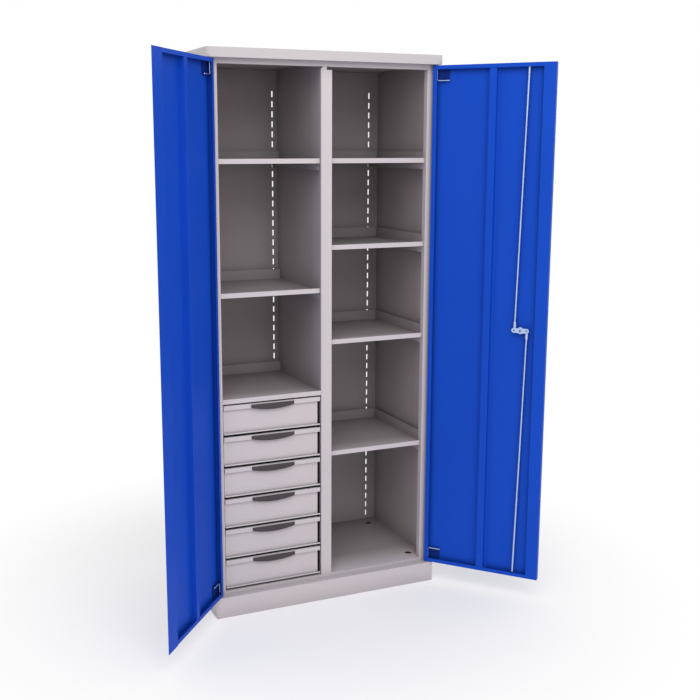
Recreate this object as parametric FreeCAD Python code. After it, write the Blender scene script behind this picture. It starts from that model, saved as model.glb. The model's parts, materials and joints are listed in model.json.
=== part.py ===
import FreeCAD, Part
import math
import os

os.makedirs("parts", exist_ok=True)
V = FreeCAD.Vector

# Outer sizes and sheet, in millimetres
width = 860.0
depth = 500.0
height = 1950.0
sheet = 1.2
cap_height = 32.0
plinth_height = 74.0
ledge = 60.0
plinth_foot = 15.0

# Front frame
stile_width = 42.0
stile_return = 22.0
post_width = 40.0
post_return = 14.0
post_notch = 11.0
post_tongue = 13.0
rail_height = 17.0
sill_height = 13.0
join = 0.5

# Doors, hinged on pins near the front corners
door_depth = 20.0
hinge_setback = 11.0
hinge_edge = 12.0
door_side_gap = 1.0
door_end_gap = 3.0
meeting_lap = 6.0
meeting_gap = 11.0
swing_clearance = 0.7
hinge_lip = 15.5
end_lip = 13.5
lock_lip = 42.0
strip_lip = 23.0
stiffener_width = 25.0
stiffener_foot = 10.0
strip_reach = 45.0
strip_thick = 2.0
strip_relief = 0.5
left_angle_deg = 130.0
right_angle_deg = 131.0

# Hinge pins, bushes and brackets
pin_d = 4.5
pin_leg = 46.0
pin_drop = 52.0
pin_rise = 14.0
pin_hole_play = 0.25
running_play = 0.08
bush_wall = 2.0
bush_length = 6.0
bush_rim = 2.0
bush_rim_thick = 1.8
bush_seat_play = 0.05
bracket_length = 54.0
bracket_thick = 2.0
saddle_length = 14.0
saddle_height = 8.0

# Rod lock on the right door
lock_offset = 87.2
cam_length = 63.0
cam_width = 17.0
cam_thick = 3.0
crank_arm = 22.5
crank_pin_d = 5.0
cam_boss_d = 13.0
cam_boss_height = 2.0
rod_d = 8.0
rod_level = 0.5
rod_eye_d = 13.0
rod_eye_thick = 6.0
rod_end_gap = 1.0
rod_gap = 0.5
rod_hole_play = 2.5
ferrule_d = 14.0
ferrule_length = 20.0
guide_play = 0.6
guide_swing = 5.0
lock_body_d = 24.0
lock_neck_d = 19.0
spindle_d = 12.0
plate_width = 42.0
plate_height = 120.0
plate_thick = 3.0
lever_length = 115.0
lever_width = 18.0
lever_thick = 10.0
lever_boss_d = 28.0
lever_boss_length = 12.0
lever_gap = 0.4

# Slot columns, tray shelves and the rails that carry them
slot_pitch = 37.35
slot_length = 22.0
slot_width = 5.0
slot_top_drop = 76.5
slot_floor_gap = 5.0
shelf_drop = 21.9
lip_height = 16.5
tray_upstand = 38.5
tray_setback = 10.0
tray_gap = 1.0
tray_side_gap = 14.0
tray_back_gap = 22.0
carrier_height = 23.0
carrier_flange = 16.0
hook_width = 3.0
hook_height = 18.0
left_shelf_slots = (6, 18)
right_shelf_slots = (6, 14, 23, 34)

# Drawer block, whose drawers take a share of the opening's height
drawer_count = 6
drawer_share = 0.3713
drawer_gap = 9.0
block_top_gap = 5.5
drawer_base_gap = 3.8
drawer_side_gap = 3.5
front_strip = 16.0
front_fold_drop = 6.0
front_bottom_lip = 5.0
front_inset = 7.0
front_short = 7.5
box_drop = 24.0
box_raise = 9.0
box_back_gap = 45.0
runner_width = 12.0
runner_height = 26.0
runner_play = 0.4
runner_setback = 45.0
grip_width = 160.0
grip_end = 11.0
grip_mid = 21.0
grip_drop = 4.0
grip_thick = 5.0

# Levelling feet
foot_inset = 57.0
foot_front = 88.0
foot_back = 60.0
foot_pad_d = 40.0
foot_pad_height = 8.0
foot_stud_d = 12.0
foot_stud_height = 62.0
foot_hole_d = 25.0
foot_bracket_level = 44.0
foot_bracket_thick = 3.0
foot_bracket_depth = 50.0
foot_bracket_width = 80.0
thread_play = 0.05

# Positions that follow from the sizes
half = width / 2
front = -depth / 2
back = depth / 2
wall_in = half - sheet
back_in = back - sheet
door_lip = door_depth - hinge_setback
swing_radius = math.hypot(hinge_edge, max(door_lip, hinge_setback))
front_setback = hinge_setback + swing_radius + swing_clearance
face = front + front_setback
cap_base = height - cap_height
rail_base = cap_base - rail_height
floor_top = plinth_height + sill_height
opening_x = half - stile_width
post_x = post_width / 2
behind_stile = face + stile_return
behind_post = face + post_return
hinge_x = half - door_side_gap - hinge_edge
hinge_y = front + hinge_setback
door_top = cap_base - door_end_gap
door_base = plinth_height + door_end_gap
door_mid = (door_top + door_base) / 2
door_out = -hinge_setback
skin_in = door_out + sheet
right_width = hinge_x + meeting_lap
left_width = hinge_x - meeting_lap - meeting_gap
stiffener_mid = (right_width - hinge_edge) / 2
lock_s = hinge_x - lock_offset
slot_top = cap_base - slot_top_drop
slot_count = int((slot_top - slot_length - floor_top - slot_floor_gap) / slot_pitch) + 1
outer_slot_x = opening_x + sheet / 2
inner_slot_x = post_x - sheet / 2
drawer_z = floor_top + drawer_base_gap
drawer_pitch = drawer_share * (rail_base - floor_top) / drawer_count
block_top_z = drawer_z + drawer_count * drawer_pitch - drawer_gap / 2 + block_top_gap


# Plain solids
def slab(x, y, z):
    low = V(min(x), min(y), min(z))
    return Part.makeBox(abs(x[1] - x[0]), abs(y[1] - y[0]), abs(z[1] - z[0]), low)


def bar(start, direction, length, diameter):
    return Part.makeCylinder(diameter / 2, length, start, direction)


def join_all(shapes):
    whole = shapes[0].fuse(shapes[1:])
    return whole.removeSplitter()


def plate_xz(points, y0, y1):
    wire = Part.makePolygon([V(x, y0, z) for x, z in points + points[:1]])
    return Part.Face(wire).extrude(V(0, y1 - y0, 0))


def save(name, shapes):
    shape = shapes[0] if len(shapes) == 1 else Part.makeCompound(shapes)
    shape.exportStep("parts/" + name + ".step")


# Plinth with an inward ledge and cap with a ceiling sheet, both pierced for pins and rods
def pierce(shape, level):
    for side in (-1, 1):
        seat = pin_d + 2 * (running_play + bush_wall + bush_seat_play)
        hole = bar(V(side * hinge_x, hinge_y, level), V(0, 0, 1), 3 * sheet, seat)
        rod_hole = rod_d + 2 * rod_hole_play
        keeper = bar(V(side * lock_offset, hinge_y + rod_level, level), V(0, 0, 1), 3 * sheet, rod_hole)
        shape = shape.cut([hole, keeper])
    return shape


def ring(z0, z1, inset):
    outer = slab((-half, half), (front, back), (z0, z1))
    inner = slab((-half + inset, half - inset), (front + inset, back - inset), (z0, z1))
    return outer.cut(inner)


plinth = join_all([
    ring(0, plinth_height, sheet),
    ring(plinth_height - sheet, plinth_height, ledge),
    ring(0, sheet, plinth_foot),
])
save("plinth", [pierce(plinth, plinth_height - 2 * sheet)])

cap = join_all([
    ring(cap_base, height, sheet),
    slab((-half, half), (front, back), (cap_base, cap_base + sheet)),
    slab((-half, half), (front, back), (height - sheet, height)),
])
save("top_cap", [pierce(cap, cap_base - sheet)])

# Levelling feet and the brackets they screw through
feet = []
brackets = []
foot_x = half - foot_inset
foot_ys = (front + foot_front, back - foot_back)
for side in (-1, 1):
    for y in foot_ys:
        pad = bar(V(side * foot_x, y, 0), V(0, 0, 1), foot_pad_height, foot_pad_d)
        stud = bar(V(side * foot_x, y, 0), V(0, 0, 1), foot_stud_height, foot_stud_d)
        feet.append(join_all([pad, stud]))
        arm = slab(
            (side * (wall_in - foot_bracket_width), side * wall_in),
            (y - foot_bracket_depth / 2, y + foot_bracket_depth / 2),
            (foot_bracket_level, foot_bracket_level + foot_bracket_thick),
        )
        hole = bar(V(side * foot_x, y, 0), V(0, 0, 1), foot_stud_height, foot_stud_d + 2 * thread_play)
        brackets.append(arm.cut(hole))
save("levelling_feet", feet)
save("foot_brackets", brackets)

# Floor pan with its front sill and four holes over the feet
floor = join_all([
    slab((-wall_in, wall_in), (behind_stile + join, back_in), (floor_top - sheet, floor_top)),
    slab((-opening_x, opening_x), (face, behind_stile + join), (floor_top - sheet, floor_top)),
    slab((-opening_x, opening_x), (face, face + sheet), (plinth_height, floor_top)),
    slab((-wall_in, -wall_in + sheet), (behind_stile + join, back_in), (plinth_height, floor_top)),
    slab((wall_in - sheet, wall_in), (behind_stile + join, back_in), (plinth_height, floor_top)),
])
for side in (-1, 1):
    for y in foot_ys:
        floor = floor.cut(bar(V(side * foot_x, y, plinth_height), V(0, 0, 1), 2 * sill_height, foot_hole_d))
save("floor_pan", [floor])

# Side panels and front stiles
for side, word in ((-1, "left"), (1, "right")):
    save(word + "_side_panel", [slab((side * wall_in, side * half), (face, back), (plinth_height, cap_base))])
    stile = join_all([
        slab((side * opening_x, side * wall_in), (face, face + sheet), (plinth_height, cap_base)),
        slab((side * opening_x, side * (opening_x + sheet)), (face, behind_stile), (plinth_height, cap_base)),
    ])
    save(word + "_stile", [stile])

# Top front rail
rail = join_all([
    slab((-opening_x, opening_x), (face, face + sheet), (rail_base, cap_base)),
    slab((-opening_x, opening_x), (face, behind_stile), (rail_base, rail_base + sheet)),
])
save("top_front_rail", [rail])

# Back panel with four columns of slots
panel = slab((-wall_in, wall_in), (back_in, back), (plinth_height, cap_base))
slots = []
for x in (-outer_slot_x, -inner_slot_x, inner_slot_x, outer_slot_x):
    for k in range(slot_count):
        z = slot_top - k * slot_pitch
        across = (x - slot_width / 2, x + slot_width / 2)
        slots.append(slab(across, (back_in - sheet, back + sheet), (z - slot_length, z)))
save("back_panel", [panel.cut(Part.makeCompound(slots))])

# Centre divider and its front post
sheet_half = sheet / 2
divider = join_all([
    slab((-sheet_half, sheet_half), (face + sheet, behind_stile + join), (floor_top, rail_base)),
    slab((-sheet_half, sheet_half), (behind_stile + join, back_in), (floor_top, cap_base)),
])
save("divider_sheet", [divider])
post_shoulder = rail_base - (post_x - post_tongue)
post_shelf = rail_base - post_notch
outline = [
    (-post_x, floor_top), (post_x, floor_top), (post_x, post_shelf), (sheet_half, post_shelf),
    (sheet_half, rail_base), (-post_tongue, rail_base), (-post_x, post_shoulder),
]
post = join_all([
    plate_xz(outline, face, face + sheet),
    slab((-post_x, -post_x + sheet), (face, behind_post), (floor_top, post_shoulder)),
    slab((post_x - sheet, post_x), (face, behind_post), (floor_top, post_shelf)),
])
save("divider_post", [post])


# Tray shelf: base, front lip, upstands at the back and at the outer wall
def tray(side, lip_top, front_y):
    base = lip_top - lip_height
    inner = post_x + tray_gap
    outer = opening_x - tray_gap
    near = sheet_half + tray_gap
    far = wall_in - tray_side_gap
    shelf_back = back_in - tray_back_gap
    body_front = behind_stile + join
    pieces = [
        slab((side * near, side * far), (body_front, shelf_back), (base, base + sheet)),
        slab((side * inner, side * outer), (front_y, body_front), (base, base + sheet)),
        slab((side * inner, side * outer), (front_y, front_y + sheet), (base, lip_top)),
        slab((side * near, side * far), (shelf_back - sheet, shelf_back), (base, base + tray_upstand)),
        slab((side * (far - sheet), side * far), (body_front, shelf_back), (base, base + tray_upstand)),
    ]
    return join_all(pieces)


# Carrier rail: a web level with the opening's edge and a flange under the tray
def carrier(side, web_x, outward, slot):
    top = slot_top - slot * slot_pitch - shelf_drop - lip_height
    web = (side * web_x, side * (web_x + outward * sheet))
    flange = (side * web_x, side * (web_x + outward * carrier_flange))
    middle = side * (web_x + outward * sheet_half)
    hook_top = slot_top - (slot + 1) * slot_pitch - (slot_length - hook_height) / 2
    hook_x = (middle - hook_width / 2, middle + hook_width / 2)
    start = behind_stile + join
    return join_all([
        slab(web, (start, back_in), (top - carrier_height, top)),
        slab(flange, (start, back_in - tray_gap), (top - sheet, top)),
        slab(hook_x, (back_in - sheet, back), (hook_top - hook_height, hook_top)),
    ])


for side, word, picks in ((-1, "left", left_shelf_slots), (1, "right", right_shelf_slots)):
    rails = []
    for n, slot in enumerate(picks):
        lip_top = slot_top - slot * slot_pitch - shelf_drop
        save(word + "_shelf_" + str(n + 1), [tray(side, lip_top, face + tray_setback)])
        rails.append(carrier(side, opening_x, 1, slot))
        rails.append(carrier(side, post_x, -1, slot))
    save(word + "_shelf_carriers", rails)

# Drawer block: top tray, side sheets and runner channels
save("drawer_block_top", [tray(-1, block_top_z + lip_height, face)])
left_x = -opening_x
right_x = -post_x
side_z = (floor_top, block_top_z)
save("drawer_block_outer_side", [slab((left_x - sheet, left_x), (behind_stile + join, back_in), side_z)])
save("drawer_block_inner_side", [slab((right_x, right_x + sheet), (behind_post + join, back_in), side_z)])


def runner(wall, inward, z):
    run = (behind_stile + join + runner_setback, back_in)
    tip = wall + inward * runner_width
    low = z - runner_height / 2
    high = z + runner_height / 2
    return join_all([
        slab((wall, wall + inward * sheet), run, (low, high)),
        slab((wall, tip), run, (low, low + sheet)),
        slab((wall, tip), run, (high - sheet, high)),
    ])


# Drawers: box welded from five sheets, side bars, folded front, plastic grip
front_left = left_x + drawer_side_gap
front_right = right_x - drawer_side_gap - sheet
centre = (front_left + front_right) / 2
box_left = left_x + runner_width + runner_play
box_right = right_x - runner_width - runner_play
panel_y = face + front_inset
box_front = panel_y + sheet
box_back = back_in - box_back_gap
outer_runners = []
inner_runners = []


def grip(top):
    left = centre - grip_width / 2
    right = centre + grip_width / 2
    high = top - grip_drop
    corner_left = V(left, face, high - grip_end)
    corner_right = V(right, face, high - grip_end)
    edges = [
        Part.makeLine(V(left, face, high), V(right, face, high)),
        Part.makeLine(V(right, face, high), corner_right),
        Part.Arc(corner_right, V(centre, face, high - grip_mid), corner_left).toShape(),
        Part.makeLine(corner_left, V(left, face, high)),
    ]
    return Part.Face(Part.Wire(edges)).extrude(V(0, -grip_thick, 0))


for n in range(drawer_count):
    name = "drawer_" + str(n + 1)
    low = drawer_z + (drawer_count - 1 - n) * drawer_pitch + drawer_gap / 2
    top = low + drawer_pitch - drawer_gap
    full = (front_left, front_right)
    short = (front_left, front_right - front_short)
    fold = top - front_fold_drop
    save(name + "_front", [join_all([
        slab(short, (panel_y, panel_y + sheet), (low, top)),
        slab(full, (face, face + sheet), (top - front_strip, top)),
        slab(full, (face, panel_y + sheet), (fold - sheet, fold)),
        slab(full, (face, panel_y + sheet), (top - front_strip, top - front_strip + sheet)),
        slab(full, (face, face + sheet), (low, low + front_bottom_lip)),
        slab(full, (face, panel_y + sheet), (low, low + sheet)),
    ])])
    save(name + "_grip", [grip(top)])
    box_low = low + box_raise
    box_high = top - box_drop
    wall_z = (box_low + sheet, box_high)
    between = (box_left + sheet, box_right - sheet)
    middle = (box_low + box_high) / 2
    bar_half = runner_height / 2 - sheet - runner_play
    bar_z = (middle - bar_half, middle + bar_half)
    bar_y = (box_front + runner_setback, box_back)
    save(name + "_box", [
        slab((box_left, box_right), (box_front, box_back), (box_low, box_low + sheet)),
        slab((box_left, box_left + sheet), (box_front, box_back), wall_z),
        slab((box_right - sheet, box_right), (box_front, box_back), wall_z),
        slab(between, (box_front, box_front + sheet), wall_z),
        slab(between, (box_back - sheet, box_back), wall_z),
        slab((left_x + sheet + runner_play, box_left), bar_y, bar_z),
        slab((box_right, right_x - sheet - runner_play), bar_y, bar_z),
    ])
    outer_runners.append(runner(left_x, 1, middle))
    inner_runners.append(runner(right_x, -1, middle))
save("outer_drawer_runners", outer_runners)
save("inner_drawer_runners", inner_runners)


# Doors are drawn shut, from the hinge axis: x along the door, y into the cabinet
def hang(shape, side):
    shape = shape.copy()
    if side > 0:
        shape = shape.mirror(V(0, 0, 0), V(1, 0, 0))
    shape.translate(V(side * hinge_x, hinge_y, 0))
    angle = right_angle_deg if side > 0 else -left_angle_deg
    shape.rotate(V(side * hinge_x, hinge_y, 0), V(0, 0, 1), angle)
    return shape


def door_skin(reach, free_lip):
    pan = slab((-hinge_edge, reach), (door_out, door_lip), (door_base, door_top))
    inside_z = (door_base + sheet, door_top - sheet)
    hollow = slab((-hinge_edge + sheet, reach - sheet), (skin_in, door_lip - sheet), inside_z)
    mouth = slab(
        (-hinge_edge + hinge_lip, reach - free_lip),
        (door_lip - 2 * sheet, door_lip + sheet),
        (door_base + end_lip, door_top - end_lip),
    )
    through = door_top - door_base + 2 * sheet
    pin_hole = bar(V(0, 0, door_base - sheet), V(0, 0, 1), through, pin_d + 2 * pin_hole_play)
    return pan.cut([hollow, mouth, pin_hole])


def stiffener():
    left = stiffener_mid - stiffener_width / 2
    right = stiffener_mid + stiffener_width / 2
    z = (door_base + sheet, door_top - sheet)
    crown = door_lip - sheet
    return join_all([
        slab((left, right), (crown - sheet, crown), z),
        slab((left, left + sheet), (skin_in, crown), z),
        slab((right - sheet, right), (skin_in, crown), z),
        slab((left - stiffener_foot, left), (skin_in, skin_in + sheet), z),
        slab((right, right + stiffener_foot), (skin_in, skin_in + sheet), z),
    ])


# Slot in the door's end that lets a lock rod swing a little as the cam turns
def rod_guide(way, end):
    mid = lock_s + way * guide_swing / 2
    reach = guide_swing / 2 + rod_d / 2 + guide_play
    spread = rod_d / 2 + guide_play
    across = (rod_level - spread, rod_level + spread)
    return slab((mid - reach, mid + reach), across, (end - 2 * sheet, end + 2 * sheet))


# One end's hinge pin and bracket: up is 1 at the top of the door and -1 at the bottom
def hinge_pin(end, up):
    bend = end - up * pin_drop
    tip = end + up * pin_rise
    return join_all([
        bar(V(0, 0, min(bend, tip)), V(0, 0, 1), abs(tip - bend), pin_d),
        bar(V(0, 0, bend), V(1, 0, 0), pin_leg, pin_d),
        Part.makeSphere(pin_d / 2, V(0, 0, bend)),
    ])


def hinge_bracket(end, up):
    bend = end - up * pin_drop
    left = -hinge_edge + sheet
    top = end - up * sheet
    low = bend - up * pin_d / 2
    mid = pin_leg / 2
    return join_all([
        slab((left, left + bracket_length), (skin_in, skin_in + bracket_thick), (low, top)),
        slab(
            (mid - saddle_length / 2, mid + saddle_length / 2),
            (skin_in, -pin_d / 2),
            (low, low + up * saddle_height),
        ),
    ])


# Hinge bushes sit in the ledges of the cap and the plinth
def bush(x, ledge_face, up):
    wall_d = pin_d + 2 * (running_play + bush_wall)
    start = ledge_face - up * bush_rim_thick
    body = bar(V(x, hinge_y, start), V(0, 0, up), bush_length + bush_rim_thick, wall_d)
    rim = bar(V(x, hinge_y, start), V(0, 0, up), bush_rim_thick, wall_d + 2 * bush_rim)
    below = V(x, hinge_y, start - up * bush_rim_thick)
    bore = bar(below, V(0, 0, up), bush_length + 4 * bush_rim_thick, pin_d + 2 * running_play)
    return join_all([body, rim]).cut(bore)


save("hinge_bushes", [
    bush(side * hinge_x, level, up)
    for side in (-1, 1)
    for level, up in ((cap_base, 1), (plinth_height, -1))
])

for side, word, reach, free_lip in ((-1, "left", left_width, strip_lip), (1, "right", right_width, lock_lip)):
    skin = door_skin(reach, free_lip)
    if side > 0:
        guides = [rod_guide(-1, door_top), rod_guide(1, door_base)]
        neck_hole = lock_neck_d + 2 * bush_seat_play
        neck = bar(V(lock_s, door_out - sheet, door_mid), V(0, 1, 0), 3 * sheet, neck_hole)
        skin = skin.cut(guides + [neck])
    save(word + "_door_skin", [hang(skin, side)])
    save(word + "_door_stiffener", [hang(stiffener(), side)])
    ends = ((door_top, 1), (door_base, -1))
    save(word + "_hinge_pins", [hang(hinge_pin(end, up), side) for end, up in ends])
    save(word + "_hinge_brackets", [hang(hinge_bracket(end, up), side) for end, up in ends])

# Overlap strip on the left door, which the right door holds shut
strip_z = (door_base, door_top)
strip = slab((left_width - strip_lip, left_width + strip_reach), (door_lip, door_lip + strip_thick), strip_z)
relief_x = (left_width + join, left_width + 2 * strip_reach)
relief = slab(relief_x, (door_lip - sheet, door_lip + strip_relief), strip_z)
save("left_door_overlap_strip", [hang(strip.cut(relief), -1)])

# Lock body, lever with spindle, and cam
cam_n = rod_level + rod_d / 2 + rod_gap
inward = V(0, 1, 0)


def lock_bar(n0, n1, diameter, s=0.0):
    return bar(V(lock_s + s, n0, door_mid), inward, n1 - n0, diameter)


plate = slab(
    (lock_s - plate_width / 2, lock_s + plate_width / 2),
    (door_out - plate_thick, door_out),
    (door_mid - plate_height / 2, door_mid + plate_height / 2),
)
lock_body = join_all([
    lock_bar(skin_in, cam_n - rod_gap, lock_body_d),
    lock_bar(door_out - sheet, skin_in + sheet, lock_neck_d),
    plate,
]).cut(lock_bar(door_out - 2 * plate_thick, cam_n, spindle_d + 2 * running_play))
save("lock_body", [hang(lock_body, 1)])

boss_in = door_out - plate_thick - lever_gap
boss_out = boss_in - lever_boss_length
lever = join_all([
    lock_bar(boss_in - lever_gap, cam_n, spindle_d),
    lock_bar(boss_out, boss_in, lever_boss_d),
    slab(
        (lock_s - lever_length + lever_boss_d / 2, lock_s + lever_boss_d / 2),
        (boss_out - lever_thick, boss_out),
        (door_mid - lever_width / 2, door_mid + lever_width / 2),
    ),
])
save("lock_lever", [hang(lever, 1)])

cam_side = cam_length / 2 - cam_width / 2
pin_low = rod_level - rod_eye_thick / 2 - rod_gap
pin_high = cam_n + cam_thick + cam_boss_height / 2
cam = join_all([
    slab(
        (lock_s - cam_side, lock_s + cam_side),
        (cam_n, cam_n + cam_thick),
        (door_mid - cam_width / 2, door_mid + cam_width / 2),
    ),
    lock_bar(cam_n, cam_n + cam_thick, cam_width, -cam_side),
    lock_bar(cam_n, cam_n + cam_thick, cam_width, cam_side),
    lock_bar(cam_n, cam_n + cam_thick + cam_boss_height, cam_boss_d),
    lock_bar(pin_low, pin_high, crank_pin_d, -crank_arm),
    lock_bar(pin_low, pin_high, crank_pin_d, crank_arm),
])
save("lock_cam", [hang(cam, 1)])


# Lock rods: an eye on a crank pin, a ferrule just clear of the cam, and a slanting bar
def lock_rod(s, end, up):
    start = V(lock_s + s, rod_level, door_mid)
    tip = V(lock_s, rod_level, end - up * rod_end_gap)
    line = tip - start
    length = line.Length
    line.normalize()
    eye_face = rod_level - rod_eye_thick / 2
    eye = bar(V(lock_s + s, eye_face, door_mid), inward, rod_eye_thick, rod_eye_d)
    hole = bar(V(lock_s + s, eye_face - rod_d, door_mid), inward, 3 * rod_d, crank_pin_d + 2 * running_play)
    ferrule_start = cam_length / 2 - crank_arm + rod_gap
    ferrule = bar(start + line * ferrule_start, line, ferrule_length, ferrule_d)
    return join_all([bar(start, line, length, rod_d), eye, ferrule]).cut(hole)


save("upper_lock_rod", [hang(lock_rod(-crank_arm, door_top, 1), 1)])
save("lower_lock_rod", [hang(lock_rod(crank_arm, door_base, -1), 1)])
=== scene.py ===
# %% [markdown]
# # A steel tool cabinet, dressed in Blender
# The metalwork was drawn in CAD and packed as a frame of separate, jointed pieces. This lesson
# gives each piece its finish, adds the small fittings that a fitter would bolt on, and lights it
# like a catalogue picture. The frame is loaded first, because every later piece is placed from it.

# %% Load the frame
import bpy
import bmesh
import json
import math
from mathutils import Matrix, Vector

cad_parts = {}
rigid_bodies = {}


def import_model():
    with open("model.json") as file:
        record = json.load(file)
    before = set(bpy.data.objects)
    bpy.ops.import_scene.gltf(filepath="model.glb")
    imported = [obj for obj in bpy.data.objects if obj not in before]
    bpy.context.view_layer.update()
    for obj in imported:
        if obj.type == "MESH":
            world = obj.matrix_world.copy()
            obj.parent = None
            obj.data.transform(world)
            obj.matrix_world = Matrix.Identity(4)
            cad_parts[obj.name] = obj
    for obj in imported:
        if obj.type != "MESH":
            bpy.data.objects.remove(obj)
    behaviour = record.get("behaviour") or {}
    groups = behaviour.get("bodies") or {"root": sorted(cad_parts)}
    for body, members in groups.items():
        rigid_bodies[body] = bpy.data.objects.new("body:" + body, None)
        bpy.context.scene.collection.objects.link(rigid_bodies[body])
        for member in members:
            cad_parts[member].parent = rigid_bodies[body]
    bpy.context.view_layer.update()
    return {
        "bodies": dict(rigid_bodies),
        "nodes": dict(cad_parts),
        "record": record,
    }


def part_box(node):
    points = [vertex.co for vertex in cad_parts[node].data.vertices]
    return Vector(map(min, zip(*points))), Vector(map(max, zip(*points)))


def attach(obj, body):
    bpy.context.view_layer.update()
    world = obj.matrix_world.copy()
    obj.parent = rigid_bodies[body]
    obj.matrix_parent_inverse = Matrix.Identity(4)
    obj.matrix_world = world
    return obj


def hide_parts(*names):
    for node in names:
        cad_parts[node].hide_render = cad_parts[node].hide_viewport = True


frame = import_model()
nodes = frame["nodes"]
record = frame["record"]

# %% [markdown]
# ## The camera
# The picture was taken from the cabinet's left, a little above its middle, with a normal lens. The
# straight edges of the cap, plinth and doors fix the place and the focal length; the small shift
# only repeats how the picture was cropped.

# %% Place the camera
eye = bpy.data.cameras.new("eye")
eye.sensor_width = 36.0
eye.lens = 53.74
eye.shift_x = 0.0402
eye.shift_y = -0.0115
eye.clip_end = 60.0
eye_object = bpy.data.objects.new("eye", eye)
eye_object.location = (-1.461, -3.5478, 1.6374)
eye_object.rotation_euler = (math.radians(79.38), 0.0, math.radians(-23.46))
bpy.context.collection.objects.link(eye_object)
bpy.context.scene.camera = eye_object
print("camera at", tuple(eye_object.location))

# %% [markdown]
# ## Light and floor
# The picture has no hard shadow anywhere: the cabinet stands in a white tent that glows evenly, and
# the inside is dark mostly because little of the tent can be seen from there. An even white world
# gives that. Soft shade under the drawers' top folds and bright shelf edges show that more light
# comes from high on the left, so one wide lamp hangs there. The floor is pale; seen by the camera or
# in a shiny part it is partly its own white, so that only a soft shadow stays.

# %% White tent
tent_glow = 0.72
backdrop_glow = 1.0
white = (1.0, 1.0, 1.0, 1.0)
scene = bpy.context.scene
scene.view_settings.view_transform = "Standard"


def add_node(tree, kind, **settings):
    """A new node in a tree, with its settings."""
    node = tree.nodes.new(kind)
    for name, value in settings.items():
        setattr(node, name, value)
    return node


def seen_directly(tree):
    """1 for what the eye sees straight, in a shiny part or through glass, 0 for light on its way."""
    path = add_node(tree, "ShaderNodeLightPath")
    seen = path.outputs["Is Camera Ray"]
    for ray in ("Is Glossy Ray", "Is Transmission Ray"):
        either = add_node(tree, "ShaderNodeMath", operation="MAXIMUM")
        tree.links.new(seen, either.inputs[0])
        tree.links.new(path.outputs[ray], either.inputs[1])
        seen = either.outputs[0]
    return seen


def white_glow(tree, strength):
    glow = add_node(tree, "ShaderNodeBackground")
    glow.inputs["Color"].default_value = white
    glow.inputs["Strength"].default_value = strength
    return glow.outputs[0]


world = bpy.data.worlds.new("white_tent")
scene.world = world
world.use_nodes = True
tree = world.node_tree
tree.nodes.clear()
tent_out = add_node(tree, "ShaderNodeOutputWorld")
pick = add_node(tree, "ShaderNodeMixShader")
tree.links.new(seen_directly(tree), pick.inputs[0])
tree.links.new(white_glow(tree, tent_glow), pick.inputs[1])
tree.links.new(white_glow(tree, backdrop_glow), pick.inputs[2])
tree.links.new(pick.outputs[0], tent_out.inputs[0])
print("tent strength", tent_glow)

# %% One wide lamp
lamp_place = Vector((-1.1, -3.6, 4.2))
lamp_target = Vector((0.0, -0.2, 0.9))
lamp = bpy.data.lights.new("high_lamp", "AREA")
lamp.shape = "DISK"
lamp.size = 4.0
lamp.energy = 102
high_lamp = bpy.data.objects.new("high_lamp", lamp)
high_lamp.location = lamp_place
high_lamp.rotation_euler = (lamp_target - lamp_place).to_track_quat("-Z", "Y").to_euler()
bpy.context.collection.objects.link(high_lamp)
print("lamp at", tuple(high_lamp.location))

# %% Lay the floor
floor_half = 30.0
floor_drop = 0.0005
corners = [(x * floor_half, y * floor_half, 0) for x, y in ((-1, -1), (1, -1), (1, 1), (-1, 1))]
floor_mesh = bpy.data.meshes.new("studio_floor")
floor_mesh.from_pydata(corners, [], [(0, 1, 2, 3)])
floor = bpy.data.objects.new("studio_floor", floor_mesh)
bpy.context.collection.objects.link(floor)
floor.location.z = -floor_drop
print("floor", 2 * floor_half, "m wide")

# %% Floor finish
floor_tint = (0.96, 0.945, 0.955, 1)
shadow_near, shadow_far = 0.6, 1.55
white_near, white_far = 0.4, 1.0


def ranged(tree, value, start, end, low=0.0, high=1.0, ease="LINEAR"):
    """Low where the value is at start, high where it is at end, and between them in between."""
    gauge = add_node(tree, "ShaderNodeMapRange", interpolation_type=ease)
    for name, number in zip(("From Min", "From Max", "To Min", "To Max"), (start, end, low, high)):
        gauge.inputs[name].default_value = number
    tree.links.new(value, gauge.inputs["Value"])
    return gauge.outputs["Result"]


def product(tree, first, second):
    """Two values multiplied."""
    times = add_node(tree, "ShaderNodeMath", operation="MULTIPLY")
    tree.links.new(first, times.inputs[0])
    tree.links.new(second, times.inputs[1])
    return times.outputs[0]


pale = bpy.data.materials.new("pale_floor")
pale.use_nodes = True
tree = pale.node_tree
tree.nodes.clear()
floor_out = add_node(tree, "ShaderNodeOutputMaterial")
matt = add_node(tree, "ShaderNodeBsdfDiffuse")
matt.inputs["Color"].default_value = floor_tint
own_white = add_node(tree, "ShaderNodeEmission")
own_white.inputs["Strength"].default_value = 1.0
away = add_node(tree, "ShaderNodeVectorMath", operation="LENGTH")
tree.links.new(add_node(tree, "ShaderNodeTexCoord").outputs["Object"], away.inputs[0])
fade = ranged(tree, away.outputs["Value"], shadow_near, shadow_far, white_near, white_far, "SMOOTHSTEP")
pick = add_node(tree, "ShaderNodeMixShader")
tree.links.new(product(tree, seen_directly(tree), fade), pick.inputs[0])
tree.links.new(matt.outputs[0], pick.inputs[1])
tree.links.new(own_white.outputs[0], pick.inputs[2])
tree.links.new(pick.outputs[0], floor_out.inputs[0])
floor_mesh.materials.append(pale)
print("floor staged, its shadow fades from", shadow_near, "to", shadow_far, "m")

# %% [markdown]
# ## Powder coat
# The carcass and doors are sheet steel with a baked powder coat: one colour, a fine orange-peel
# grain and a soft sheen. Painting an image would be the quick way; noise in the object's own
# coordinates is better, because it has a real scale in millimetres and no seams. In folds and
# corners shade is painted into the colour: the tone goes down where a neighbour is close.

# %% Noise and tones
noise_low, noise_high = 0.3, 0.7
tone_low, tone_high = 0.32, 0.68


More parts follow.
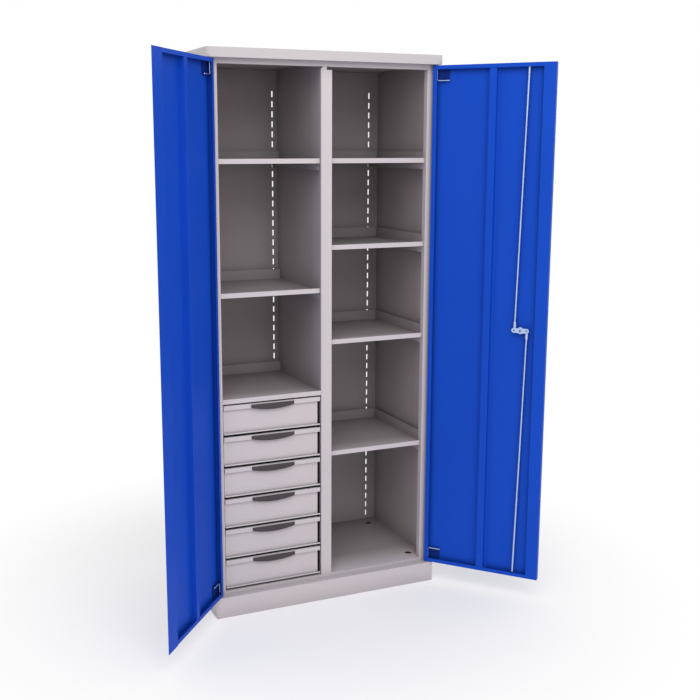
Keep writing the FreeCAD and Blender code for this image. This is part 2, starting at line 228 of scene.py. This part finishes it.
def noise(tree, where, scale, detail):
    """Clouds of a size that the scale gives, in the object's own coordinates."""
    cloud = add_node(tree, "ShaderNodeTexNoise")
    cloud.inputs["Scale"].default_value = scale
    cloud.inputs["Detail"].default_value = detail
    tree.links.new(where, cloud.inputs["Vector"])
    return cloud.outputs["Fac"]


def spread(tree, cloud, low, high):
    """Noise keeps near its middle, so that part is spread from low to high."""
    return ranged(tree, cloud, noise_low, noise_high, low, high)


def two_tones(tree, cloud, colour, drift):
    """A colour that drifts a little darker and lighter with the clouds."""
    ramp = add_node(tree, "ShaderNodeValToRGB")
    low, high = ramp.color_ramp.elements
    low.position = tone_low
    high.position = tone_high
    low.color = tuple(c * (1 - drift) for c in colour) + (1,)
    high.color = tuple(min(1.0, c * (1 + drift)) for c in colour) + (1,)
    tree.links.new(cloud, ramp.inputs["Fac"])
    return ramp.outputs["Color"]


def shaded(tree, tone, share):
    """A tone times a share."""
    both = add_node(tree, "ShaderNodeMix", data_type="RGBA", blend_type="MULTIPLY")
    both.inputs["Factor"].default_value = 1.0
    tree.links.new(tone, both.inputs["A"])
    tree.links.new(share, both.inputs["B"])
    return both.outputs["Result"]


def paint_fold_shade(tree, tone, amount, reach):
    """The tone, taken down where a fold or a neighbour is close: painted shade."""
    fold_shade = add_node(tree, "ShaderNodeAmbientOcclusion", samples=8)
    fold_shade.inputs["Distance"].default_value = reach
    return shaded(tree, tone, ranged(tree, fold_shade.outputs["AO"], 0.0, 1.0, 1.0 - amount, 1.0))


print("tools: noise, spread, two tones, folds")

# %% Blue coats and plastics
tone_scale = 2.6
peel_strength = 0.25
blue = (0.008, 0.073, 0.54)


def coated(name, colour, drift, roughness, grain, depth, sheen, fold_shade=0.0, reach=0.06):
    """A coat of one colour; returns the material, its tree, its shader and its coordinates."""
    mat = bpy.data.materials.new(name)
    mat.use_nodes = True
    tree = mat.node_tree
    skin = tree.nodes["Principled BSDF"]
    skin.inputs["Specular IOR Level"].default_value = sheen
    where = add_node(tree, "ShaderNodeTexCoord").outputs["Object"]
    peel = noise(tree, where, grain, 2.0)
    bump = add_node(tree, "ShaderNodeBump")
    bump.inputs["Strength"].default_value = peel_strength
    bump.inputs["Distance"].default_value = depth
    tone = two_tones(tree, noise(tree, where, tone_scale, 3.0), colour, drift)
    # Painted shade: the tone goes down in folds and beside close neighbours.
    if fold_shade:
        tone = paint_fold_shade(tree, tone, fold_shade, reach)
    tree.links.new(tone, skin.inputs["Base Color"])
    tree.links.new(peel, bump.inputs["Height"])
    tree.links.new(bump.outputs["Normal"], skin.inputs["Normal"])
    tree.links.new(spread(tree, peel, roughness - 0.05, roughness + 0.07), skin.inputs["Roughness"])
    return mat, tree, skin, where


door_peel = dict(roughness=0.45, grain=380.0, depth=0.0004, sheen=0.08)
# The door blue has shade painted into its folds and beside its neighbours.
door_blue = coated("door_blue", blue, drift=0.03, fold_shade=0.5, reach=0.03, **door_peel)[0]
stiffener_blue = coated("stiffener_blue", blue, drift=0.03, **door_peel)[0]
# The brackets' darker navy is painted shade: the door blue as it looks deep in the hinge pocket.
bracket_blue = coated(
    "bracket_blue", (0.004, 0.024, 0.19), drift=0.05, roughness=0.5, grain=380.0, depth=0.0004, sheen=0.08)[0]
dark_plastic = coated(
    "dark_plastic", (0.074, 0.058, 0.063), drift=0.06, roughness=0.5, grain=900.0, depth=0.0002, sheen=0.2)[0]
white_plastic = coated(
    "white_plastic", (0.62, 0.62, 0.60), drift=0.03, roughness=0.45, grain=700.0, depth=0.0002, sheen=0.4)[0]
print("coats:", door_blue.name, stiffener_blue.name, bracket_blue.name, dark_plastic.name, white_plastic.name)

# %% [markdown]
# ## Grey, with shade painted inside
# The carcass is one grey, but inside it shade is painted into the colour, so it reads a shade deeper,
# and faces that look up are painted darker as shade. A second set of materials inside would need
# a hard border; one coat that asks where it is in the cabinet can fade its painted shade in from the front.

# %% Where the inside begins
# The painted inside shade fades in over this depth behind the front.
inside_shade_depth = 0.13
edge_fade = 0.0004
stile_wrap = 0.012
side_sheet = 0.0012
floor_skin = 0.001
hair = 0.0001
side_face = max(v.co.x for v in nodes["right_side_panel"].data.vertices)
inner_half = side_face - side_sheet + hair
inner_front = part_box("left_stile")[0].y + stile_wrap
inner_low = Vector((-inner_half, inner_front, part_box("floor_pan")[0].z + floor_skin))
inner_high = Vector((inner_half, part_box("divider_sheet")[1].y + hair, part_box("top_cap")[0].z + hair))


def inside_shade_share(tree, where):
    """1 within the carcass, where shade is painted in, 0 outside it, from the object's own coordinates."""
    split = add_node(tree, "ShaderNodeSeparateXYZ")
    tree.links.new(where, split.inputs[0])
    result = None
    for axis, low, high in zip("XYZ", inner_low, inner_high):
        rise = (low, low + inside_shade_depth) if axis == "Y" else (low - edge_fade, low)
        for start, end in (rise, (high + edge_fade, high)):
            step = ranged(tree, split.outputs[axis], start, end)
            result = product(tree, result, step) if result else step
    return result


print("inside of the grey begins at", tuple(inner_low), "and ends at", tuple(inner_high))

# %% Grey coat
# Painted shade inside: a deeper grey, darker faces that look up, and darker folds.
top_shade = 0.77
slope_starts, slope_ends = 0.5, 0.9
inner_fold_shade = 0.5
inner_shade_reach = 0.09
grey_shaded_inside = (0.435, 0.392, 0.402)


def shaded_on_top(tree, tone, share):
    """The tone, taken down on faces that look up: painted shade."""
    facing = add_node(tree, "ShaderNodeNewGeometry")
    split = add_node(tree, "ShaderNodeSeparateXYZ")
    tree.links.new(facing.outputs["True Normal"], split.inputs[0])
    return shaded(tree, tone, ranged(tree, split.outputs["Z"], slope_starts, slope_ends, 1.0, share))


def carcass_coat(name, colour):
    """The grey coat: one colour outside with shade painted into folds, and a deeper one inside the carcass,
    which is painted shade.
    """
    mat, tree, skin, where = coated(
        name, colour, drift=0.015, roughness=0.55, grain=420.0, depth=0.0004, sheen=0.3, fold_shade=0.45)
    outer_tone = skin.inputs["Base Color"].links[0].from_socket
    shaded_inner_tone = two_tones(tree, noise(tree, where, tone_scale, 3.0), grey_shaded_inside, 0.03)
    shaded_inner_tone = shaded_on_top(tree, shaded_inner_tone, top_shade)
    shaded_inner_tone = paint_fold_shade(tree, shaded_inner_tone, inner_fold_shade, inner_shade_reach)
    blend = add_node(tree, "ShaderNodeMix", data_type="RGBA")
    tree.links.new(inside_shade_share(tree, where), blend.inputs["Factor"])
    tree.links.new(outer_tone, blend.inputs["A"])
    tree.links.new(shaded_inner_tone, blend.inputs["B"])
    tree.links.new(blend.outputs["Result"], skin.inputs["Base Color"])
    return mat


body_grey = carcass_coat("body_grey", (0.635, 0.575, 0.585))
cap_grey = carcass_coat("cap_grey", (0.575, 0.54, 0.547))
print("greys:", body_grey.name, cap_grey.name)

# %% [markdown]
# ## Zinc
# Pins, rods, cam and runners are bright zinc plate with a bluish cast, partly the plate's own and
# partly a painted reflection of the blue doors: a metal with a soft cloudy gloss. A metallic shader
# with broad noise in the roughness gives the cloud without any picture; the clouds are much wider than a rod,
# so that a rod doesn't look beaded.

# %% Zinc
def plated(name, colour, roughness, cloud_scale):
    """A plated metal whose gloss is cloudy."""
    mat = bpy.data.materials.new(name)
    mat.use_nodes = True
    tree = mat.node_tree
    skin = tree.nodes["Principled BSDF"]
    skin.inputs["Metallic"].default_value = 1.0
    where = add_node(tree, "ShaderNodeTexCoord").outputs["Object"]
    cloud = noise(tree, where, cloud_scale, 2.0)
    tree.links.new(two_tones(tree, cloud, colour, 0.04), skin.inputs["Base Color"])
    tree.links.new(spread(tree, cloud, roughness - 0.05, roughness + 0.06), skin.inputs["Roughness"])
    return mat


# The zinc's blue is partly its own cast and partly a painted reflection of the blue doors.
zinc = plated("zinc", (0.48, 0.60, 0.88), roughness=0.36, cloud_scale=16.0)
dark_steel = plated("dark_steel", (0.22, 0.21, 0.21), roughness=0.45, cloud_scale=60.0)
print("metals:", zinc.name, dark_steel.name)

# %% [markdown]
# ## Dress the metalwork
# Each CAD piece names its finish in the record, so the finishes are handed out from there. A few
# pieces differ from their neighbours: the sheets beside the drawers are near-black as painted shade, the cap
# is a shade more neutral, and the stiffeners, which stand free of their corners, have no painted fold shade.

# %% Hand out the finishes
finishes = {
    "body_grey": body_grey, "door_blue": door_blue, "bracket_blue": bracket_blue,
    "zinc": zinc, "dark_plastic": dark_plastic, "white_plastic": white_plastic,
}
for part in record["subparts"]:
    mesh = nodes[part["node"]].data
    mesh.materials.clear()
    mesh.materials.append(finishes[part["material_slot"]])
# Painted shade: the sheets beside the drawers, seen only through dark gaps, are near-black.
painted_shade_sheet = coated(
    "painted_shade_coat", (0.10, 0.09, 0.095), drift=0.06, roughness=0.7, grain=500.0, depth=0.0003, sheen=0.2)[0]
special = {
    "drawer_block_inner_side": painted_shade_sheet, "drawer_block_outer_side": painted_shade_sheet, "top_cap": cap_grey,
    "left_door_stiffener": stiffener_blue, "right_door_stiffener": stiffener_blue,
}
for name, finish in special.items():
    nodes[name].data.materials[0] = finish
print("dressed", len(record["subparts"]), "nodes,", len(special), "of them apart")

# %% [markdown]
# ## A way to make small fittings
# Rivets, screws, cups and pulls are all closed skins over a row of rings, as a turner or a moulder
# would think of them. Starting from Blender's ready cylinders would leave sharp, plain ends; rings
# give every head its own crown, flat or socket. Each fitting then rides on the body that carries it.

# %% Rings and skins
sharp_from = math.radians(40)


def skin_over(shape, rings, hollow=False):
    """Faces from ring to ring; the ends are closed, or joined to each other round a hollow."""
    loops = [[shape.verts.new(point) for point in ring] for ring in rings]
    pairs = list(zip(loops, loops[1:]))
    if hollow:
        pairs.append((loops[-1], loops[0]))
    else:
        shape.faces.new(loops[0])
        shape.faces.new(loops[-1])
    for near, far in pairs:
        for k in range(len(near)):
            m = (k + 1) % len(near)
            shape.faces.new((near[k], near[m], far[m], far[k]))


def fitting(name, solids, slot, body, finish=None, hollow=False):
    """One piece made of several ring-built solids, in a slot's finish, riding on a body."""
    shape = bmesh.new()
    for rings in solids:
        skin_over(shape, rings, hollow)
    bmesh.ops.recalc_face_normals(shape, faces=shape.faces)
    mesh = bpy.data.meshes.new(name)
    shape.to_mesh(mesh)
    shape.free()
    mesh.shade_smooth()
    mesh.set_sharp_from_angle(angle=sharp_from)
    mesh.materials.append(finish or finishes[slot])
    piece = bpy.data.objects.new(name, mesh)
    bpy.context.collection.objects.link(piece)
    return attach(piece, body)


print("edges sharper than", round(math.degrees(sharp_from)), "degrees stay crisp")

# %% Turned shapes
def turned(centre, axis, profile, sides=24):
    """Rings of a turned shape; a profile step is (radius, height), or (radius, height, flats)."""
    axis = Vector(axis).normalized()
    right = axis.orthogonal().normalized()
    up = axis.cross(right)
    rings = []
    for radius, height, *flats in profile:
        ring = []
        for k in range(sides):
            angle = math.tau * k / sides
            size = radius
            if flats:
                sector = math.tau / flats[0]
                size = radius / math.cos((angle + sector / 2) % sector - sector / 2)
            ring.append(centre + axis * height + (right * math.cos(angle) + up * math.sin(angle)) * size)
        rings.append(ring)
    return rings


def rivet(centre, axis, radius, height):
    """A domed head."""
    steps = ((1.0, 0.0), (0.97, 0.3), (0.8, 0.68), (0.45, 0.92), (0.08, 1.0))
    return turned(centre, axis, [(radius * r, height * h) for r, h in steps])


def socket_screw(centre, axis, radius, height):
    """A round head with a hexagon socket sunk in it."""
    head = ((1.0, 0.0), (1.0, 0.55), (0.93, 0.85), (0.75, 1.0), (0.5, 1.0))
    socket = ((0.45, 1.0, 6), (0.45, 0.4, 6))
    return turned(centre, axis, [(radius * s[0], height * s[1]) + s[2:] for s in head + socket])


print("fittings: rivet, socket screw, turned shapes")

# %% [markdown]
# ## The lock's small parts
# The cam is held by a screw in its middle and carries each rod on a riveted pin. Their heads are
# darker than the zinc. They are placed from the lock's own joints, so they stay on the cam.

# %% Cam screw and rivets
boss_over_pin = 0.001
rivet_radius, rivet_height = 0.0031, 0.0012
cam_screw_radius, cam_screw_height = 0.0042, 0.0024
joints = {joint["name"]: joint for joint in record["behaviour"]["joints"]}
lock_centre = Vector(joints["lock_turn"]["pos_m"])
outward = Vector(joints["lock_turn"]["axis"])


def from_lock(node, axis):
    """How far a node's points lie from the lock's centre along an axis."""
    return [(v.co - lock_centre).dot(axis) for v in nodes[node].data.vertices]


cam_top = max(from_lock("lock_cam", -outward))
pin_top = cam_top - boss_over_pin
pin_centres = [Vector(joints[name]["pos_m"]) for name in ("upper_rod_pivot", "lower_rod_pivot")]
rivets = [rivet(centre - outward * pin_top, -outward, rivet_radius, rivet_height) for centre in pin_centres]
screw = socket_screw(lock_centre - outward * cam_top, -outward, cam_screw_radius, cam_screw_height)
fitting("cam_screw_and_rivets", rivets + [screw], "zinc", "lock", finish=dark_steel)
print("cam face stands", round(cam_top * 1000, 2), "mm from the rods' plane")

# %% [markdown]
# ## The lever and its cover plate
# Outside, a plated cover plate carries a moulded lever, two screws and a key barrel. The lever's CAD
# block has square edges; a real one is rounded to be kind to the hand, so it is drawn again as
# rounded sections along the arm, with a turned boss and spindle, and takes the block's place.

# %% Lever arm
arm_half_width, tip_half_width = 0.009, 0.007
arm_half_thick, tip_half_thick = 0.005, 0.0038
end_round = 12
end_least = 0.06
upright = Vector((0, 0, 1))
to_hinge = upright.cross(outward)
lever_out = max(from_lock("lock_lever", outward))
arm_end = max(from_lock("lock_lever", to_hinge))
arm_start = min(from_lock("lock_lever", to_hinge))


def rounded(angle, wide, high, square=3.2):
    """A point of a rounded oblong, as two offsets."""
    bend = lambda value: math.copysign(abs(value) ** (2 / square), value)
    return wide * bend(math.cos(angle)), high * bend(math.sin(angle))


def lever_arm(sections=22, sides=20):
    """Rounded sections from the arm's start to its tip, closer together at the ends."""
    rings = []
    for k in range(sections + 1):
        share = (1 - math.cos(math.pi * k / sections)) / 2
        full = max(end_least, 1 - abs(2 * share - 1) ** end_round) ** 0.5
        along = arm_start + (arm_end - arm_start) * share
        middle = lock_centre + to_hinge * along + outward * (lever_out - arm_half_thick)
        wide = (arm_half_width + (tip_half_width - arm_half_width) * share) * full
        thick = (arm_half_thick + (tip_half_thick - arm_half_thick) * share) * full
        ring = []
        for m in range(sides):
            across, out = rounded(math.tau * m / sides, wide, thick)
            ring.append(middle + upright * across + outward * out)
        rings.append(ring)
    return rings


print("lever arm", round((arm_end - arm_start) * 1000), "mm long")

# %% Lever boss and spindle
boss_radius = 0.014
boss_edge = 0.0008
boss_shoulder, boss_neck, neck_rise = 0.0012, 0.004, 0.002
boss_clearance = 0.0004
spindle_radius = 0.006
spindle_in = min(from_lock("lock_lever", outward))
plate_out = max(from_lock("lock_body", outward))
boss_in = plate_out + boss_clearance
boss_out = lever_out - 2 * arm_half_thick
boss = turned(lock_centre, outward, [
    (spindle_radius, spindle_in), (spindle_radius, boss_in),
    (boss_radius - boss_edge, boss_in), (boss_radius, boss_in + boss_edge),
    (boss_radius, boss_out - neck_rise), (boss_radius - boss_shoulder, boss_out),
    (boss_radius - boss_neck, boss_out + neck_rise),
])
handle = fitting("lock_handle", [lever_arm(), boss], "dark_plastic", "lock")
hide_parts("lock_lever")
print("lever stands out", round((lever_out - plate_out) * 1000, 1), "mm")

# %% Key barrel and cover plate screws
barrel_drop = 0.036
barrel_face = 0.0021
barrel_steps = [
    (0.0085, 0.0), (0.0085, 0.0018), (0.0078, 0.0026), (0.0066, 0.0026),
    (0.0064, barrel_face), (0.0055, barrel_face),
]
slot_half_length, slot_half_width, slot_floor = 0.0042, 0.0009, 0.0003
screw_rise = 0.052
plate_screw_radius, plate_screw_height = 0.0038, 0.0015
tiny = 1e-6


def key_slot(centre, height):
    """A ring on the edge of an oblong slot, with as many points as a turned ring."""
    ring = []
    for point in turned(centre, outward, [(1.0, height)])[0]:
        away = point - centre - outward * height
        level, rise = abs(away.dot(to_hinge)), abs(away.dot(upright))
        size = min(slot_half_width / max(level, tiny), slot_half_length / max(rise, tiny))
        ring.append(centre + outward * height + away * size)
    return ring


plate_face = lock_centre + outward * plate_out
barrel_at = plate_face - upright * barrel_drop
barrel = turned(barrel_at, outward, barrel_steps)
barrel += [key_slot(barrel_at, depth) for depth in (barrel_face, slot_floor)]
screw_places = [plate_face + upright * height for height in (-screw_rise, screw_rise)]
plate_screws = [
    socket_screw(place, outward, plate_screw_radius, plate_screw_height) for place in screw_places]
fitting("key_barrel", [barrel], "zinc", "right_door")
fitting("plate_screws", plate_screws, "zinc", "right_door", finish=dark_steel)
print("plate face", round(plate_out * 1000, 1), "mm out, with a barrel and", len(plate_screws), "screws")

# %% [markdown]
# ## Hinge pin tips and foot nuts
# A bent pin is cut from rod and its end is rounded off; each foot's stud has a hexagon nut on its
# bracket. Both could be left out at this distance, but the bare CAD ends look cut with a knife from
# near by. The tips are found from the pins' own farthest points, so they fit whatever the pin is.

# %% Hinge pin tips
end_band = 0.0005
tip_crown = 0.0012
for side in ("left", "right"):
    pivot = Vector(joints[side + "_door_hinge"]["pos_m"])
    flat = lambda point: Vector((point.x - pivot.x, point.y - pivot.y, 0))
    tips = []
    for upper in (True, False):
        points = [v.co for v in nodes[side + "_hinge_pins"].data.vertices if (v.co.z > pivot.z) == upper]
        farthest = max(flat(point).length for point in points)
        rim = [point for point in points if flat(point).length > farthest - end_band]
        low, high = (Vector(map(end, zip(*rim))) for end in (min, max))
        centre = (low + high) / 2
        tips.append(rivet(centre, flat(centre), (high.z - low.z) / 2, tip_crown))
    fitting(side + "_pin_tips", tips, "zinc", side + "_door")
print("pin tips", 2 * len(tips), "each", round((high.z - low.z) * 1000, 1), "mm thick")

# %% Foot nuts
pad_radius = 0.020
nut_steps = [(0.0095, 0.0, 6), (0.0095, 0.0066, 6), (0.0088, 0.008), (0.0063, 0.008), (0.0063, 0.0)]
nut_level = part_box("foot_brackets")[1].z
feet_low, feet_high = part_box("levelling_feet")
nuts = []
for x in (feet_low.x + pad_radius, feet_high.x - pad_radius):
    for y in (feet_low.y + pad_radius, feet_high.y - pad_radius):
        nuts.append(turned(Vector((x, y, nut_level)), (0, 0, 1), nut_steps))
fitting("foot_nuts", nuts, "zinc", "carcass", hollow=True)
print("nuts", len(nuts), "at", round(nut_level * 1000, 1), "mm")

# %% [markdown]
# ## Rod cups
# The rods' ends run into holes in the cap and the plinth. A moulded cup in each hole keeps steel
# from scraping on steel. Its rim is almost flush, so that the cup shows as a faint ring only. The
# cups could be set by eye; they are worked out from the lock's place on the shut door instead.

# %% Rod cups in the plinth and the cap
hinge = Vector(joints["right_door_hinge"]["pos_m"])
rod_x = hinge.x + (lock_centre - hinge).dot(to_hinge)
rod_y = hinge.y - (lock_centre - hinge).dot(outward)
cup_steps = [
    (0.0063, 0.012), (0.0063, 0.0), (0.0072, 0.0), (0.0072, -0.0003), (0.0066, -0.0005),
    (0.0054, -0.0002), (0.0051, 0.0006), (0.0051, 0.011),
]
plinth_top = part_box("plinth")[1].z
cap_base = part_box("top_cap")[0].z
cups = []
for x in (-rod_x, rod_x):
    for level, way in ((plinth_top, -1), (cap_base, 1)):
        cups.append(turned(Vector((x, rod_y, level)), (0, 0, way), cup_steps))
fitting("rod_cups", cups, "white_plastic", "carcass")
print("rod cups", len(cups), "at", round(rod_x * 1000, 1), "mm to each side")

# %% [markdown]
# ## Drawer pulls
# Each drawer has a dark moulded pull: a shallow shell that hangs over the front's top fold, deepest
# in the middle, with room for the fingers behind it. It is drawn as sections along its length. It
# takes the place of the CAD block, which keeps its job in the physics.

# %% Drawer pulls
pull_end = 0.011
pull_wall = 0.0022
end_thin = 0.35


def pull_sections(low, high, count=28):
    """Sections of a pull along its length, within the box of the block that it replaces."""
    width = high.x - low.x
    middle = (high.x + low.x) / 2
    deepest = high.z - low.z
    top = high.z
    rings = []
    for k in range(count + 1):
        across = -math.cos(math.pi * k / count)
        drop = pull_end + (deepest - pull_end) * (1 - across ** 2)
        round_off = math.sqrt(max(0.0, 1 - across ** end_round))
        out = (high.y - low.y) * (end_thin + (1 - end_thin) * round_off)
        base = top - drop
        wall = min(pull_wall, out * 0.5)
        section = [
            (0.0, top), (0.55 * out, top), (0.88 * out, top - 0.0007), (out, top - 0.0022),
            (out, base + 0.0024), (0.93 * out, base + 0.0008), (0.75 * out, base),
            (0.58 * out, base + 0.0004), (out - wall, base + 0.0016), (out - wall, top - drop * 0.42),
            (0.3 * out, top - drop * 0.36), (0.0, top - drop * 0.36),
        ]
        rings.append([Vector((middle + across * width / 2, high.y - y, z)) for y, z in section])
    return rings


drawer_count = sum(1 for name in frame["bodies"] if name.startswith("drawer_"))
for n in range(1, drawer_count + 1):
    low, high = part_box("drawer_%d_grip" % n)
    pull = fitting("drawer_%d_pull" % n, [pull_sections(low, high)], "dark_plastic", "drawer_%d" % n)
    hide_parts("drawer_%d_grip" % n)
print("pulls", drawer_count, "each", round((high.x - low.x) * 1000), "mm wide")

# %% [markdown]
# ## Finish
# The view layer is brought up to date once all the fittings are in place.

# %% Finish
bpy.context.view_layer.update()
